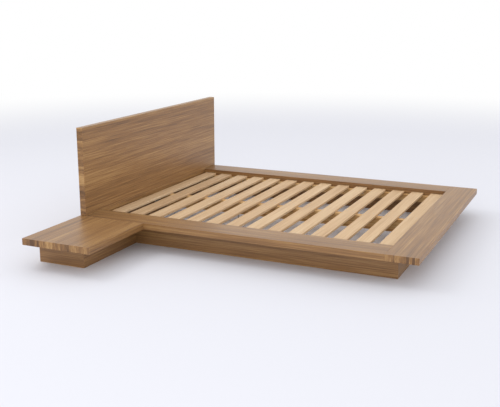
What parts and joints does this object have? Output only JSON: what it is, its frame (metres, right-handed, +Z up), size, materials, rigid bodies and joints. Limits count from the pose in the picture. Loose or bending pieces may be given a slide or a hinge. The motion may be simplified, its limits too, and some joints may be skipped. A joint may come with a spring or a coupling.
{
  "type": "platform bed frame",
  "caption": "Low wooden platform bed frame: wide plank deck round a recessed mattress well, plain slab headboard, set-back plinth and a cantilevered bedside shelf.",
  "frame": {"origin": "on the floor, under the middle of the whole frame with its shelf", "axes": "+X across the bed, away from the shelf; +Y from the foot to the headboard; +Z up"},
  "size_m": [2.514, 2.298, 0.7886],
  "materials": {
    "board": "oiled, satin",
    "slat": "planed, unfinished",
    "structure": "planed, unfinished",
    "steel": "zinc plated",
    "black_steel": "black powder coat",
    "nylon": "moulded"
  },
  "bodies": {
    "bed": {"headboard": "board", "left_side_plank": "board", "right_side_plank": "board", "foot_plank": "board", "head_rail": "board", "left_plinth_rail": "board", "right_plinth_rail": "board", "foot_plinth_rail": "board", "head_plinth_rail": "board", "shelf_top": "board", "shelf_end_rail": "board", "shelf_front_rail": "board", "shelf_back_rail": "board", "left_cleat": "board", "right_cleat": "board", "foot_cleat": "board", "shelf_end_cleat": "board", "shelf_front_cleat": "board", "centre_beam": "structure", "left_ledger": "structure", "right_ledger": "structure", "shelf_inner_rail": "structure", "head_left_corner_block": "structure", "head_right_corner_block": "structure", "foot_left_corner_block": "structure", "foot_right_corner_block": "structure", "slat_01": "slat", "slat_02": "slat", "slat_03": "slat", "slat_04": "slat", "slat_05": "slat", "slat_06": "slat", "slat_07": "slat", "slat_08": "slat", "slat_09": "slat", "slat_10": "slat", "slat_11": "slat", "slat_12": "slat", "slat_13": "slat", "slat_14": "slat", "head_beam_hanger": "steel", "foot_beam_hanger": "steel", "foot_insert_1": "steel", "foot_insert_2": "steel", "foot_lock_nut_1": "steel", "foot_lock_nut_2": "steel", "shelf_bolt_back": "steel", "shelf_bolt_front": "steel", "shelf_nut_back": "steel", "shelf_nut_front": "steel", "left_foot_joint_plate": "steel", "right_foot_joint_plate": "steel", "shelf_joint_plate": "steel", "headboard_plate_left": "black_steel", "headboard_plate_centre": "black_steel", "headboard_plate_right": "black_steel"},
    "foot_pad_1": {"foot_pad_1": "nylon"},
    "foot_stud_1": {"foot_stud_1": "steel"},
    "foot_pad_2": {"foot_pad_2": "nylon"},
    "foot_stud_2": {"foot_stud_2": "steel"}
  },
  "joints": [
    {"name": "foot_slide_1", "type": "slide", "parent": "bed", "child": "foot_pad_1", "axis": [0, 0, 1], "range_m": [-0.012, 0.008]},
    {"name": "foot_turn_1", "type": "hinge", "parent": "foot_pad_1", "child": "foot_stud_1", "pos_m": [0.3, -0.2678, 0.04], "axis": [0, 0, 1], "range_deg": [-2880, 1920]},
    {"name": "foot_slide_2", "type": "slide", "parent": "bed", "child": "foot_pad_2", "axis": [0, 0, 1], "range_m": [-0.012, 0.008]},
    {"name": "foot_turn_2", "type": "hinge", "parent": "foot_pad_2", "child": "foot_stud_2", "pos_m": [0.3, 0.4238, 0.04], "axis": [0, 0, 1], "range_deg": [-2880, 1920]}
  ],
  "couplings": [
    {"joint": "foot_turn_1", "follows": "foot_slide_1", "rad_per_m": 4188.8},
    {"joint": "foot_turn_2", "follows": "foot_slide_2", "rad_per_m": 4188.8}
  ]
}
